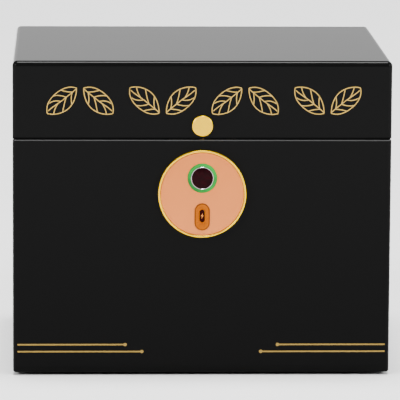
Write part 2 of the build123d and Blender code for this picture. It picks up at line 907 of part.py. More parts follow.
def hinge_leaf_solid(x, upper):
    half_gap = hinge_leaf_gap / 2
    z0 = hinge_z + half_gap if upper else hinge_z - half_gap - hinge_leaf
    y0 = back - hinge_leaf_depth
    leaf = block(x - hinge_length / 2, x + hinge_length / 2, y0, hinge_y, z0, z0 + hinge_leaf)
    leaf = fillet(leaf.edges().filter_by(Axis.Z).group_by(Axis.Y)[0], leaf_corner)
    leaf -= rod_x(knuckle_radius + knuckle_gap, x - hinge_length, x + hinge_length, hinge_y, hinge_z)
    bore = pin_radius + (pin_clearance if upper else 0)
    for a, b in hinge_knuckles(x, upper):
        barrel = rod_x(knuckle_radius, a, b, hinge_y, hinge_z)
        tab = block(a, b, hinge_y - knuckle_radius - 1.0, hinge_y, z0, z0 + hinge_leaf)
        leaf += barrel + tab
    leaf -= rod_x(bore, x - hinge_length, x + hinge_length, hinge_y, hinge_z)
    face = hinge_z + (half_gap if upper else -half_gap)
    for sx, sy in hinge_screw_spots(x):
        leaf -= screw_hole_z(sx, sy, face, screw_length, down=not upper)
    return leaf


def hinge_pin(x):
    half = hinge_length / 2
    return rod_x(pin_radius, x - half, x + half, hinge_y, hinge_z)


def wood_screws(upper):
    """The alike screws of the lid or of the chest: its hinge leaves' and its lock plate's."""
    down = not upper
    face = hinge_z + hinge_leaf_gap / 2 * (1 if upper else -1)
    screws = []
    for x in hinge_places():
        screws += [screw_z(sx, sy, face, screw_length, down) for sx, sy in hinge_screw_spots(x)]
    plate_spots = strike_screw_spots() if upper else selvage_screw_spots()
    plate_face = lid_bottom if upper else seam_height
    screws += [screw_z(sx, sy, plate_face, screw_length, down) for sx, sy in plate_spots]
    return Compound(screws)


# Humidifier and hygrometer under the lid
def rounded_slab(x, y, length, breadth, z0, z1, corner):
    slab = block(x - length / 2, x + length / 2, y - breadth / 2, y + breadth / 2, z0, z1)
    return fillet(slab.edges().filter_by(Axis.Z), corner)


def humidifier_case():
    z1 = lid_ceiling - liner_top
    z0 = z1 - humidifier_height + grille_thickness
    body = rounded_slab(humidifier_x, mid_y, humidifier_length, humidifier_width, z0, z1, humidifier_corner)
    w = humidifier_wall
    hollow = rounded_slab(
        humidifier_x, mid_y, humidifier_length - 2 * w, humidifier_width - 2 * w, z0 - 1, z1 - w,
        humidifier_corner - w
    )
    return body - hollow


def humidifier_foam():
    z1 = lid_ceiling - liner_top - humidifier_wall
    z0 = lid_ceiling - liner_top - humidifier_height + grille_thickness
    w = 2 * (humidifier_wall + foam_gap)
    return rounded_slab(
        humidifier_x, mid_y, humidifier_length - w, humidifier_width - w, z0, z1, humidifier_corner - w / 2
    )


def humidifier_grille():
    z1 = lid_ceiling - liner_top - humidifier_height + grille_thickness
    z0 = z1 - grille_thickness
    plate = rounded_slab(humidifier_x, mid_y, humidifier_length, humidifier_width, z0, z1, humidifier_corner)
    plate = fillet(plate.edges().group_by(Axis.Z)[0], grille_round)
    slots = []
    row_y = (grille_slot_length + grille_bridge) / 2
    for row in (-1, 1):
        for i in range(grille_slots):
            x = humidifier_x + (i - (grille_slots - 1) / 2) * grille_slot_pitch
            outline = Pos(x, mid_y + row * row_y, z0 - 1) * Rot(0, 0, 90)
            slot = SlotOverall(grille_slot_length, grille_slot_width)
            slots.append(outline * extrude(slot, grille_thickness + 2, dir=(0, 0, 1)))
    return plate - slots


def hygrometer_case():
    """A cup under the lid with the dial face as its inner floor."""
    r = meter_radius - meter_wall
    profile = Polyline(
        (0, meter_height), (r, meter_height), (r, meter_rim_height), (r - meter_wall, meter_rim_height),
        (r - meter_wall, meter_rim_height + dial_level), (0, meter_rim_height + dial_level), (0, meter_height)
    )
    cup = revolve(make_face(profile), Axis.Y)
    cup = Pos(meter_x, mid_y, meter_face) * Rot(90, 0, 0) * cup
    dial_z = meter_face + meter_rim_height + dial_level
    return cup + rod_z(arbor_radius, dial_z - arbor_sunk, dial_z + arbor_rise, meter_x, mid_y)


def hygrometer_rim():
    r = meter_radius
    inner = r - meter_rim_width
    seat = r - meter_wall - glass_seat
    bore = r - meter_wall + part_gap
    top = meter_height - meter_rim_top_gap
    bevel = meter_bevel
    h = meter_rim_height
    profile = Polyline(
        (inner, bevel), (inner + bevel, 0), (r - bevel, 0), (r, bevel), (r, top), (bore, top), (bore, h),
        (seat, h), (seat, h - glass_thickness), (inner, h - glass_thickness), (inner, bevel)
    )
    rim = revolve(make_face(profile), Axis.Y)
    return Pos(meter_x, mid_y, meter_face) * Rot(90, 0, 0) * rim


def hygrometer_glass():
    r = meter_radius - meter_wall - glass_seat - part_gap
    z0 = meter_face + meter_rim_height - glass_thickness
    return rod_z(r, z0, z0 + glass_thickness, meter_x, mid_y)


def hygrometer_needle():
    z0 = meter_face + meter_rim_height + needle_level
    w = needle_half
    tip = needle_tip_half
    plan = Polyline(
        (-tip, -needle_length), (tip, -needle_length), (w, 0), (w, needle_tail), (-w, needle_tail), (-w, 0),
        close=True
    )
    hand = extrude(make_face(plan), needle_thickness, dir=(0, 0, 1))
    hand += rod_z(needle_hub_radius, 0, needle_thickness)
    hand += rod_z(needle_cap_radius, needle_thickness, needle_thickness + needle_cap_height)
    hand -= rod_z(arbor_radius + arbor_clearance, -1, 3)
    return Pos(meter_x, mid_y, z0) * Rot(0, 0, needle_rest_angle) * hand


# The lift-out tray
def tray_outline():
    x = room_x - tray_clearance
    return -x, x, room_front + tray_clearance, room_back - tray_clearance


def tray_frame():
    x0, x1, y0, y1 = tray_outline()
    b = tray_board
    frame = block(x0, x1, y0, y1, tray_bottom, tray_top)
    frame = fillet(frame.edges().filter_by(Axis.Z), tray_corner)
    frame -= block(x0 + b, x1 - b, y0 + b, y1 - b, tray_bottom + tray_floor_thickness, tray_top + 1)
    r = b - tray_rebate
    frame -= block(x0 + r, x1 - r, y0 + r, y1 - r, tray_bottom - 1, tray_bottom + tray_floor_thickness / 2)
    frame -= block(x0 + b, x1 - b, y0 + b, y1 - b, tray_bottom - 1, tray_bottom + tray_floor_thickness + 1)
    g0 = tray_bottom + groove_level
    frame -= block(
        x0 + b, x1 - b, y0 + b - groove_depth, y1 - b + groove_depth, g0, g0 + groove_height
    )
    for side in (x0, x1 - b):
        notch = Plane.YZ * SlotOverall(finger_length, 2 * finger_depth)
        cutter = extrude(notch, b + 2, dir=(1, 0, 0))
        frame -= Pos(side - 1, mid_y, tray_top) * cutter
    return frame


def tray_floor():
    x0, x1, y0, y1 = tray_outline()
    b = tray_board + part_gap
    board = block(x0 + b, x1 - b, y0 + b, y1 - b, tray_bottom, tray_bottom + tray_floor_thickness)
    r = b - tray_rebate
    board += block(x0 + r, x1 - r, y0 + r, y1 - r, tray_bottom, tray_bottom + tray_floor_thickness / 2)
    slots = []
    row_y = (air_slot_length + air_slot_bridge) / 2
    for row in (-1, 1):
        for i in range(-2, 3):
            place = Pos(i * air_slot_pitch, mid_y + row * row_y, tray_bottom - 1) * Rot(0, 0, 90)
            slot = SlotOverall(air_slot_length, air_slot_width)
            slots.append(place * extrude(slot, tray_floor_thickness + 2, dir=(0, 0, 1)))
    return board - slots


def tray_divider():
    x0, x1, y0, y1 = tray_outline()
    b = tray_board + divider_clearance
    half = divider_thickness / 2
    z0 = tray_bottom + tray_floor_thickness + divider_clearance
    z1 = tray_top - divider_drop
    board = block(-half, half, y0 + b, y1 - b, z0, z1)
    board = fillet(board.edges().filter_by(Axis.Y).group_by(Axis.Z)[-1], divider_round)
    g0 = tray_bottom + groove_level + divider_clearance
    g1 = g0 + groove_height - 2 * divider_clearance
    tongue = block(-half, half, y0 + b - groove_depth, y1 - b + groove_depth, g0, g1)
    return board + tongue


# Gilt ornament on the front
def leaf_stroke_face(shares):
    """A stroke through points given as shares of the leaf's width."""
    points = [(x * leaf_width, y * leaf_width) for x, y in shares]
    path = ThreePointArc(*points) if len(points) == 3 else Spline(*points)
    return trace(path, line_width=leaf_stroke)


def leaf():
    """One leaf, its stalk end at the origin, lying down and to the right, in the XY plane."""
    strokes = [
        [(0, 0), (0.272, 0.026), (0.717, -0.199), (0.974, -0.534), (1, -0.885)],
        [(1, -0.885), (0.654, -0.895), (0.251, -0.691), (0.047, -0.34), (0, 0)],
        [(0.01, -0.031), (0.131, -0.141), (0.351, -0.319), (0.534, -0.466), (0.717, -0.592), (0.974, -0.796)],
        [(0.131, -0.141), (0.325, -0.126), (0.545, -0.073)],
        [(0.351, -0.319), (0.571, -0.262), (0.796, -0.272)],
        [(0.534, -0.466), (0.743, -0.45), (0.942, -0.534)],
        [(0.152, -0.168), (0.178, -0.366), (0.157, -0.576)],
        [(0.351, -0.319), (0.424, -0.586), (0.471, -0.838)],
        [(0.628, -0.534), (0.728, -0.712), (0.78, -0.895)],
    ]
    faces = [leaf_stroke_face(stroke) for stroke in strokes]
    return faces[0].fuse(*faces[1:])


def leaf_inlay():
    """Pairs of leaves along the lid, every other pair upside down."""
    shape = extrude(leaf(), gilt_height, dir=(0, 0, 1))
    right = Pos(leaf_pair_gap / 2, leaf_stalk_rise, 0) * shape
    left = mirror(right, Plane.YZ)
    leaves = []
    row_z = lid_bottom + leaf_row_rise
    for pair in range(leaf_pairs):
        x = leaf_row_shift + (pair - (leaf_pairs - 1) / 2) * leaf_pair_pitch
        for one in (left, right):
            turned = mirror(one, Plane.XZ) if pair % 2 else one
            leaves.append(Pos(x, front, row_z) * Rot(90, 0, 0) * turned)
    return Compound(leaves)


def line_inlay():
    """Two gilt lines from each side, each ending in a bead."""
    lines = []
    outer_end = width / 2 - corner_radius
    for drop, start in ((lower_line_drop, lower_line_start), (upper_line_drop, upper_line_start)):
        z = seam_height - drop
        for side in (-1, 1):
            x0, x1 = sorted((side * start, side * outer_end))
            strip = block(x0, x1, front - gilt_height, front, z - line_width / 2, z + line_width / 2)
            bead = rod_y(line_bead_radius, front - gilt_height, front, side * start, z)
            lines.append(strip + bead)
    return Compound(lines)


def all_parts():
    parts = {}
    parts.update(chest_walls())
    parts["base_panel"] = base_panel()
    parts["foot_pads"] = foot_pads()
    parts.update(chest_lining())
    parts["tray_rails"] = tray_rails()
    parts["lock_bezel"] = lock_bezel()
    parts["lock_face"] = lock_face()
    parts["led_ring"] = seat_ring(led_radius, led_inner_radius, led_proud, led_bevel)
    lens_seat = lens_radius + part_gap
    parts["sensor_rim"] = seat_ring(sensor_rim_radius, lens_seat, led_proud + lens_dome, rim_bevel)
    parts["sensor_lens"] = sensor_lens()
    parts["port_bezel"] = port_bezel()
    parts["usb_socket"] = usb_socket()
    parts["port_plug"] = port_plug()
    parts["lock_case"] = lock_case()
    parts["lock_cover"] = lock_cover()
    parts["lock_cover_screws"] = cover_screws()
    parts["lock_faceplate"] = lock_faceplate()
    parts["lock_motor"] = lock_motor()
    parts["lock_pinion"] = lock_pinion()
    parts["lock_bolt"] = lock_bolt()
    parts["circuit_board"] = circuit_board()
    parts["battery"] = battery()
    parts.update(lid_rails())
    parts["lid_panel"] = lid_panel()
    parts.update(lid_lining())
    parts["knob"] = knob()
    parts["knob_screw"] = knob_screw()
    parts["strike_plate"] = strike_plate()
    parts["hinge_chest_leaves"] = Compound([hinge_leaf_solid(x, upper=False) for x in hinge_places()])
    parts["hinge_lid_leaves"] = Compound([hinge_leaf_solid(x, upper=True) for x in hinge_places()])
    parts["hinge_pins"] = Compound([hinge_pin(x) for x in hinge_places()])
    parts["chest_screws"] = wood_screws(upper=False)
    parts["lid_screws"] = wood_screws(upper=True)
    parts["humidifier_case"] = humidifier_case()
    parts["humidifier_foam"] = humidifier_foam()
    parts["humidifier_grille"] = humidifier_grille()
    parts["hygrometer_case"] = hygrometer_case()
    parts["hygrometer_rim"] = hygrometer_rim()
    parts["hygrometer_glass"] = hygrometer_glass()
    parts["hygrometer_needle"] = hygrometer_needle()
    parts["tray_frame"] = tray_frame()
    parts["tray_floor"] = tray_floor()
    parts["tray_divider"] = tray_divider()
    parts["leaf_inlay"] = leaf_inlay()
    parts["line_inlay"] = line_inlay()
    return parts


os.makedirs("parts", exist_ok=True)
for name, shape in all_parts().items():
    export_step(shape, f"parts/{name}.step")
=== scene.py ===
import json
from math import cos, radians, sin

import bmesh
import bpy
from mathutils import Matrix, Vector


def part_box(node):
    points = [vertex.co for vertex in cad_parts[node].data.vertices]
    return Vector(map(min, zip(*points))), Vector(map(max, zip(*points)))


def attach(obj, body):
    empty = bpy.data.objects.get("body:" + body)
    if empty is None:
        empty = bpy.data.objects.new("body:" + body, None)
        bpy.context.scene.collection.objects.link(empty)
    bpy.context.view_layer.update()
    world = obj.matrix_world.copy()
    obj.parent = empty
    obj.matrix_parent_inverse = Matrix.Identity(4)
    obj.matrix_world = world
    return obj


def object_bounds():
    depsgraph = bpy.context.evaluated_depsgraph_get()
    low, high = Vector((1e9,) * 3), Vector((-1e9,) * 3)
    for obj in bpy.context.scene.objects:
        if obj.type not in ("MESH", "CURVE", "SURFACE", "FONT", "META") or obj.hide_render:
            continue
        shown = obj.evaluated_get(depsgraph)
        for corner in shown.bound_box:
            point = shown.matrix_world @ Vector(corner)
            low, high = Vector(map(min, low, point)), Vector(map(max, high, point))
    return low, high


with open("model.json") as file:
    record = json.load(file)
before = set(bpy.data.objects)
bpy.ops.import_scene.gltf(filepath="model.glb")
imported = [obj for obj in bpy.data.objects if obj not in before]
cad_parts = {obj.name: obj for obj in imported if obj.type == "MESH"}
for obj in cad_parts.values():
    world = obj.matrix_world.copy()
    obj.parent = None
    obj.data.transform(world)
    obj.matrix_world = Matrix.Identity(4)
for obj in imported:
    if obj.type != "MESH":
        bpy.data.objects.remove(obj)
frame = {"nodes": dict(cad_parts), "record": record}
cad_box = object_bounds()
nodes = frame["nodes"]

# Camera, fitted to the centres of the knob, the lock, the leaves and the gilt lines.
# Its sensor is measured in millimetres.
picture_pixels = 400.0
focal_pixels = 3788.0
sensor_width = 36.0
camera_distance = 2.5
camera_elevation = radians(9.0)
camera_azimuth = radians(-2.0)
camera_roll = 0.0055
camera_reach = 60.0
aim_x = -0.0014
aim_z = 0.1179

# Floor, with its darker tone as a share of its colour
floor_half = 9.0
floor_color = (0.88, 0.88, 0.88)
floor_dark_share = 0.985
floor_gloss = 0.2

# World. The horizon's top, fade and turn are parts of a unit direction.
horizon_light = 1.0
horizon_top = 0.24
horizon_fade = 0.06
horizon_turn = 0.1
sky_light = 0.1

# Lamps: a wide sun overhead and a panel to each side of the camera
top_light_strength = 7.5
top_light_spread = radians(24.0)
top_light_tilt = radians(2.0)
side_light_power = 60.0
side_light_size = 1.1
side_light_distance = 2.6
side_light_azimuth = radians(52.0)
side_light_elevation = radians(28.0)

# Refraction. The front's glossy pieces have a low one, so that they mirror little face on.
usual_ior = 1.5
glass_ior = 1.45
lacquer_ior = 1.12
satin_ior = 1.15
port_ior = 1.1

# Lacquer: its painted sheen at the foot and at the top, which lightens it upwards, and the painted
# highlight along the upper edge of the chest's walls.
# The edge's fade is a share of its width.
painted_sheen_low = 0.0018
painted_sheen_high = 0.0035
edge_highlight = 0.06
edge_width = 0.0008
edge_fade = 0.15

# Painted shade at the foot of the lid's boards, where their reflection is taken off so that the seam
# shows black. The fade is a share of twice the width.
seam_shade_width = 0.0012
seam_shade_fade = 0.05
usual_gloss = 0.5

# Charging surround: the painted shade round its edge, and the light band inside it as shares of the
# radius
edge_shade_width = 0.0005
edge_shade_fade = 0.02
band_width = 0.12

# Cedar: the grain's scale along the board, and the share of fine lines in it
grain_scale = 0.05
line_share = 0.45

# Light of the ring round the sensor
ring_light = 0.62

# Plain colours
black = (0.0, 0.0, 0.0)
white = (1.0, 1.0, 1.0)

# Charging sign on the plug, with its outline in shares of its height
sign_height = 0.0036
sign_thickness = 0.0001
sign_outline = [(0.14, 0.5), (-0.27, -0.05), (-0.03, -0.05), (-0.14, -0.5), (0.27, 0.08), (0.03, 0.08)]

# Dial of the hygrometer. It reads with the lid open, so its up is -Y.
dial_depth = 0.006
dial_radius = 0.0185
dial_half_sweep = radians(120.0)
dial_top = 100
dial_mark_step = 2
dial_long_step = 10
dial_mark_length = 0.0022
dial_mark_width = 0.00035
dial_short_share = 0.5
dial_number_step = 20
dial_number_radius = 0.0138
dial_number_height = 0.0034
dial_ink = 0.00012

# Crosses of painted shade where the wood screws' recesses are, and how far apart the points of one screw
# can lie
recess_shade_length = 0.0026
recess_shade_width = 0.0005
recess_shade_proud = 0.00004
screw_reach = 0.004
screw_length = 0.012

# Corners of a square round the origin, in order
corners = ((-1, -1), (1, -1), (1, 1), (-1, 1))

# Nodes whose material isn't their slot's
own_materials = {"line_inlay": "dim_gilt", "knob": "front_brass", "lock_bezel": "front_brass"}
for side in ("front", "back", "left", "right"):
    # The walls' lacquer has a painted highlight line along the chest's upper edge.
    own_materials[side + "_wall"] = "edge_highlight_lacquer"
    own_materials["lid_" + side] = "lid_lacquer"


# Node helpers, for materials and the world
def shader_of(material):
    return material.node_tree.nodes["Principled BSDF"]


def new_material(name, color=None, roughness=None, metallic=0.0, ior=usual_ior):
    """A plain material. It takes no colour or roughness where nodes give them."""
    material = bpy.data.materials.new(name)
    material.use_nodes = True
    inputs = shader_of(material).inputs
    inputs["Metallic"].default_value = metallic
    inputs["IOR"].default_value = ior
    if color:
        inputs["Base Color"].default_value = (*color, 1.0)
    if roughness:
        inputs["Roughness"].default_value = roughness
    return material


def add_node(owner, kind, **inputs):
    node = owner.node_tree.nodes.new(kind)
    for name, value in inputs.items():
        node.inputs[name.replace("_", " ").title()].default_value = value
    return node


def join(owner, source, target):
    owner.node_tree.links.new(source, target)


def shade(material, socket, source):
    join(material, source, shader_of(material).inputs[socket])


def maths(owner, operation, a, b=0.0):
    """A calculation with one or two values, each a number or a node's output."""
    node = add_node(owner, "ShaderNodeMath")
    node.operation = operation
    for socket, value in zip(node.inputs, (a, b)):
        if isinstance(value, float):
            socket.default_value = value
        else:
            join(owner, value, socket)
    return node.outputs["Value"]


def axes(owner, space):
    """The X, Y and Z of the coordinates in a space."""
    place = add_node(owner, "ShaderNodeTexCoord")
    split = add_node(owner, "ShaderNodeSeparateXYZ")
    join(owner, place.outputs[space], split.inputs["Vector"])
    return split.outputs


def progress(owner, value, start, end):
    """How far a value has gone from its start to its end, as a 0 to 1 factor."""
    node = add_node(owner, "ShaderNodeMapRange", from_min=start, from_max=end)
    join(owner, value, node.inputs["Value"])
    return node.outputs["Result"]


def height_share(material, low, high):
    """The height between two levels as a 0 to 1 factor."""
    return progress(material, axes(material, "Object")["Z"], low, high)


def level(owner, factor, low, high):
    """Spreads a 0 to 1 factor between two values."""
    node = add_node(owner, "ShaderNodeMapRange", to_min=low, to_max=high)
    join(owner, factor, node.inputs["Value"])
    return node.outputs["Result"]


def ramp(material, factor, stops):
    """A colour ramp of (place, colour) stops."""
    node = add_node(material, "ShaderNodeValToRGB")
    elements = node.color_ramp.elements
    while len(elements) < len(stops):
        elements.new(0.5)
    for element, (place, color) in zip(elements, stops):
        element.position = place
        element.color = (*color, 1.0)
    join(material, factor, node.inputs["Fac"])
    return node.outputs["Color"]


def noise(material, scale, detail, stretch=(1.0, 1.0, 1.0), distortion=0.0):
    """Noise over the object's coordinates, as a 0 to 1 factor."""
    place = add_node(material, "ShaderNodeTexCoord")
    mapping = add_node(material, "ShaderNodeMapping", scale=stretch)
    texture = add_node(material, "ShaderNodeTexNoise", scale=scale, detail=detail, distortion=distortion)
    join(material, place.outputs["Object"], mapping.inputs["Vector"])
    join(material, mapping.outputs["Vector"], texture.inputs["Vector"])
    return texture.outputs["Fac"]


def bump(material, height, strength, distance):
    node = add_node(material, "ShaderNodeBump", strength=strength, distance=distance)
    join(material, height, node.inputs["Height"])
    shade(material, "Normal", node.outputs["Normal"])


# Materials
def lacquer(name, edge=None):
    """Polished black lacquer, faintly wavy, with a painted sheen that lightens it towards the top. If an
    upper edge is given, a painted highlight line runs along it.
    """
    material = new_material(name, ior=lacquer_ior)
    # Painted sheen: the colour lightens from the foot to the top of the object.
    painted_light = level(material, height_share(material, 0.0, cad_box[1].z), painted_sheen_low, painted_sheen_high)
    if edge:
        # Painted highlight: a light line just under the upper edge.
        highlight_tone = (edge_highlight,) * 3
        band = ramp(material, height_share(material, edge - edge_width, edge), [
            (0.0, black),
            (edge_fade, highlight_tone),
            (1.0 - edge_fade, highlight_tone),
            (1.0, black),
        ])
        painted_light = maths(material, "ADD", painted_light, band)
    polish = noise(material, scale=14.0, detail=4.0)
    waves = noise(material, scale=9.0, detail=2.0)
    shade(material, "Base Color", painted_light)
    shade(material, "Roughness", level(material, polish, low=0.03, high=0.08))
    bump(material, waves, strength=0.02, distance=0.0004)
    return material


def matt_foot(material, foot):
    """Painted shade: takes the reflection off the lowest millimetre, so that the seam shows as a black
    line.
    """
    gloss = ramp(material, height_share(material, foot, foot + 2 * seam_shade_width), [
        (0.5 - seam_shade_fade, black),
        (0.5 + seam_shade_fade, (usual_gloss,) * 3),
    ])
    shade(material, "Specular IOR Level", gloss)
    return material


def satin_black(name, color):
    material = new_material(name, color)
    patches = noise(material, scale=60.0, detail=5.0)
    grit = noise(material, scale=900.0, detail=3.0)
    shade(material, "Roughness", level(material, patches, low=0.36, high=0.55))
    bump(material, grit, strength=0.15, distance=0.0002)
    return material


def felt(name):
    material = new_material(name, roughness=0.95)
    fibres = noise(material, scale=2200.0, detail=6.0, distortion=1.5)
    tone = ramp(material, fibres, [(0.3, (0.008, 0.008, 0.009)), (0.7, (0.035, 0.035, 0.037))])
    shade(material, "Base Color", tone)
    bump(material, fibres, strength=0.8, distance=0.0006)
    return material


def cedar(name, stretch):
    """Planed cedar, with broad bands and fine lines that are stretched along its grain."""
    material = new_material(name)
    bands = noise(material, scale=70.0, detail=3.0, stretch=stretch, distortion=1.2)
    lines = noise(material, scale=520.0, detail=5.0, stretch=stretch, distortion=0.6)
    mixed = add_node(material, "ShaderNodeMix", factor=line_share)
    join(material, bands, mixed.inputs["A"])
    join(material, lines, mixed.inputs["B"])
    tone = ramp(material, mixed.outputs["Result"], [
        (0.3, (0.25, 0.095, 0.038)),
        (0.46, (0.4, 0.178, 0.077)),
        (0.6, (0.52, 0.262, 0.122)),
        (0.75, (0.6, 0.335, 0.17)),
    ])
    shade(material, "Base Color", tone)
    shade(material, "Roughness", level(material, lines, low=0.5, high=0.72))
    bump(material, lines, strength=0.25, distance=0.0003)
    return material


def mottled(material, color, dark_share, scale):
    """Lets the colour drift in patches between itself and a darker tone."""
    dark = tuple(part * dark_share for part in color)
    patches = noise(material, scale=scale, detail=4.0)
    shade(material, "Base Color", ramp(material, patches, [(0.35, dark), (0.65, color)]))


def metal(name, color, roughness, grain=0.02):
    """A metal whose polish varies a little and shows fine marks."""
    material = new_material(name, metallic=1.0)
    mottled(material, color, dark_share=0.93, scale=45.0)
    marks = noise(material, scale=300.0, detail=5.0)
    shade(material, "Roughness", level(material, marks, roughness * 0.8, roughness * 1.25))
    bump(material, marks, strength=grain, distance=0.0001)
    return material


def plastic(name, color, roughness, ior=usual_ior):
    material = new_material(name, roughness=roughness, ior=ior)
    mottled(material, color, dark_share=0.9, scale=120.0)
    grit = noise(material, scale=1800.0, detail=3.0)
    bump(material, grit, strength=0.03, distance=0.0001)
    return material


def enamel(name, roughness, ior):
    """Satin enamel, still without its colour."""
    material = new_material(name, roughness=roughness, ior=ior)
    grit = noise(material, scale=1500.0, detail=4.0)
    bump(material, grit, strength=0.04, distance=0.0001)
    return material


def face_enamel(name):
    """The lock's face: its colour drifts from the foot to the top of the plate."""
    pink = (0.68, 0.205, 0.055)
    peach = (0.64, 0.185, 0.042)
    low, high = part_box("lock_face")
    material = enamel(name, 0.42, satin_ior)
    drift = ramp(material, height_share(material, low.z, high.z), [(0.0, pink), (1.0, peach)])
    shade(material, "Base Color", drift)
    return material


def surround_enamel(name):
    """The upright charging surround: orange, lighter near its edge, with painted shade as a dark line
    round it.
    """
    orange = (0.32, 0.068, 0.0003)
    light_orange = (0.37, 0.088, 0.0006)
    shade_brown = (0.13, 0.035, 0.006)
    low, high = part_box("port_bezel")
    radius = (high.x - low.x) / 2
    middle = (low.z + high.z) / 2
    straight = (high.z - low.z) / 2 - radius
    material = enamel(name, 0.38, port_ior)
    place = axes(material, "Object")
    rise = maths(material, "ABSOLUTE", maths(material, "SUBTRACT", place["Z"], middle))
    over = maths(material, "MAXIMUM", maths(material, "SUBTRACT", rise, straight), 0.0)
    reach = maths(material, "ABSOLUTE", place["X"])
    over_square = maths(material, "POWER", over, 2.0)
    reach_square = maths(material, "POWER", reach, 2.0)
    distance = maths(material, "SQRT", maths(material, "ADD", reach_square, over_square))
    # Painted shade: the colour darkens to brown at the rim.
    line = 1.0 - edge_shade_width / radius
    tone = ramp(material, maths(material, "DIVIDE", distance, radius), [
        (0.0, orange),
        (line - band_width, light_orange),
        (line - edge_shade_fade, orange),
        (line, shade_brown),
    ])
    shade(material, "Base Color", tone)
    return material


def light_guide(name):
    """The lit ring: green, brighter in places."""
    dim_green = (0.02, 0.42, 0.05)
    bright_green = (0.02, 0.95, 0.08)
    material = new_material(name, (0.01, 0.05, 0.015), 0.3, ior=lacquer_ior)
    patches = noise(material, scale=75.0, detail=2.0)
    glow = ramp(material, patches, [(0.38, dim_green), (0.62, bright_green)])
    shade(material, "Emission Color", glow)
    shader_of(material).inputs["Emission Strength"].default_value = ring_light
    return material


def sensor_window(name):
    material = new_material(name, roughness=0.06, ior=lacquer_ior)
    patches = noise(material, scale=350.0, detail=3.0)
    tint = ramp(material, patches, [(0.4, (0.008, 0.0002, 0.001)), (0.65, (0.016, 0.0004, 0.0018))])
    shade(material, "Base Color", tint)
    return material


def clear_glass(name):
    material = new_material(name, (0.97, 0.985, 0.985), 0.01, ior=glass_ior)
    shader_of(material).inputs["Transmission Weight"].default_value = 1.0
    waves = noise(material, scale=30.0, detail=2.0)
    bump(material, waves, strength=0.01, distance=0.0002)
    return material


def foam(name):
    material = new_material(name, roughness=0.95)
    cells = noise(material, scale=1400.0, detail=5.0, distortion=0.8)
    tone = ramp(material, cells, [(0.35, (0.03, 0.1, 0.055)), (0.65, (0.1, 0.27, 0.16))])
    shade(material, "Base Color", tone)
    bump(material, cells, strength=0.9, distance=0.0008)
    return material


def all_materials():
    """The materials. A key is the slot that the material dresses, or a name of its own."""
    return {
        "lacquer": lacquer("black_lacquer"),
        "edge_highlight_lacquer": lacquer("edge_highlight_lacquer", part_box("front_wall")[1].z),
        "lid_lacquer": matt_foot(lacquer("lid_lacquer"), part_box("lid_front")[0].z),
        "base_board": satin_black("black_board", (0.02, 0.02, 0.021)),
        "felt": felt("black_felt"),
        "cedar_x": cedar("cedar_along_x", (grain_scale, 1.0, 1.0)),
        "cedar_y": cedar("cedar_along_y", (1.0, grain_scale, 1.0)),
        "polished_brass": metal("polished_brass", (0.88, 0.6, 0.24), 0.2),
        "front_brass": metal("front_brass", (1.0, 0.6, 0.002), 0.36),
        "screw_brass": metal("screw_brass", (0.82, 0.55, 0.22), 0.28),
        "gilt": metal("gilt", (0.54, 0.35, 0.09), 0.3),
        "dim_gilt": metal("dim_gilt", (0.27, 0.175, 0.045), 0.32),
        "face_enamel": face_enamel("peach_enamel"),
        "green_light": light_guide("green_light"),
        "silver_trim": metal("bright_steel", (0.5, 0.48, 0.5), 0.16),
        "sensor_glass": sensor_window("maroon_window"),
        "port_orange": surround_enamel("orange_satin"),
        "sign_orange": plastic("sign_orange", (0.75, 0.26, 0.05), 0.5, port_ior),
        "socket_steel": metal("plain_steel", (0.6, 0.6, 0.61), 0.3, grain=0.06),
        "plug_rubber": plastic("maroon_rubber", (0.022, 0.0008, 0.001), 0.6, lacquer_ior),
        "case_metal": satin_black("coated_metal", (0.03, 0.03, 0.031)),
        "case_screws": metal("screw_steel", (0.5, 0.5, 0.51), 0.3),
        "motor": metal("motor_steel", (0.55, 0.55, 0.56), 0.35, grain=0.08),
        "board": plastic("green_board", (0.02, 0.16, 0.06), 0.4),
        "cell": plastic("grey_cell", (0.3, 0.32, 0.35), 0.35),
        "humidifier_shell": satin_black("black_plastic", (0.018, 0.018, 0.018)),
        "foam": foam("green_foam"),
        "meter_shell": plastic("ivory_dial", (0.82, 0.78, 0.68), 0.5),
        "meter_glass": clear_glass("clear_glass"),
        "needle": plastic("black_hand", (0.012, 0.012, 0.012), 0.4),
    }


def material_key(name, slot):
    """The key of a node's material. Boards at the sides have their grain from front to back."""
    if slot == "cedar":
        return "cedar_y" if name.endswith(("left", "right", "rails", "divider")) else "cedar_x"
    return own_materials.get(name, slot)


def dress_nodes(materials):
    for row in frame["record"]["subparts"]:
        name = row["node"]
        mesh = nodes[name].data
        mesh.materials.clear()
        mesh.materials.append(materials[material_key(name, row["material_slot"])])


# Small pieces that the solids leave out
def add_object(name, data):
    thing = bpy.data.objects.new(name, data)
    bpy.context.scene.collection.objects.link(thing)
    return thing


def new_piece(name, mesh, material, body):
    piece = add_object(name, mesh)
    mesh.materials.append(material)
    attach(piece, body)


def mesh_from(name, build):
    shape = bmesh.new()
    build(shape)
    bmesh.ops.recalc_face_normals(shape, faces=shape.faces)
    mesh = bpy.data.meshes.new(name)
    shape.to_mesh(mesh)
    shape.free()
    return mesh


def add_prism(shape, outline, rise):
    """A prism on an outline of points, raised by a vector."""
    low = [shape.verts.new(point) for point in outline]
    high = [shape.verts.new(point + rise) for point in outline]
    shape.faces.new(low)
    shape.faces.new(high)
    for i in range(len(outline)):
        j = (i + 1) % len(outline)
        shape.faces.new((low[i], low[j], high[j], high[i]))


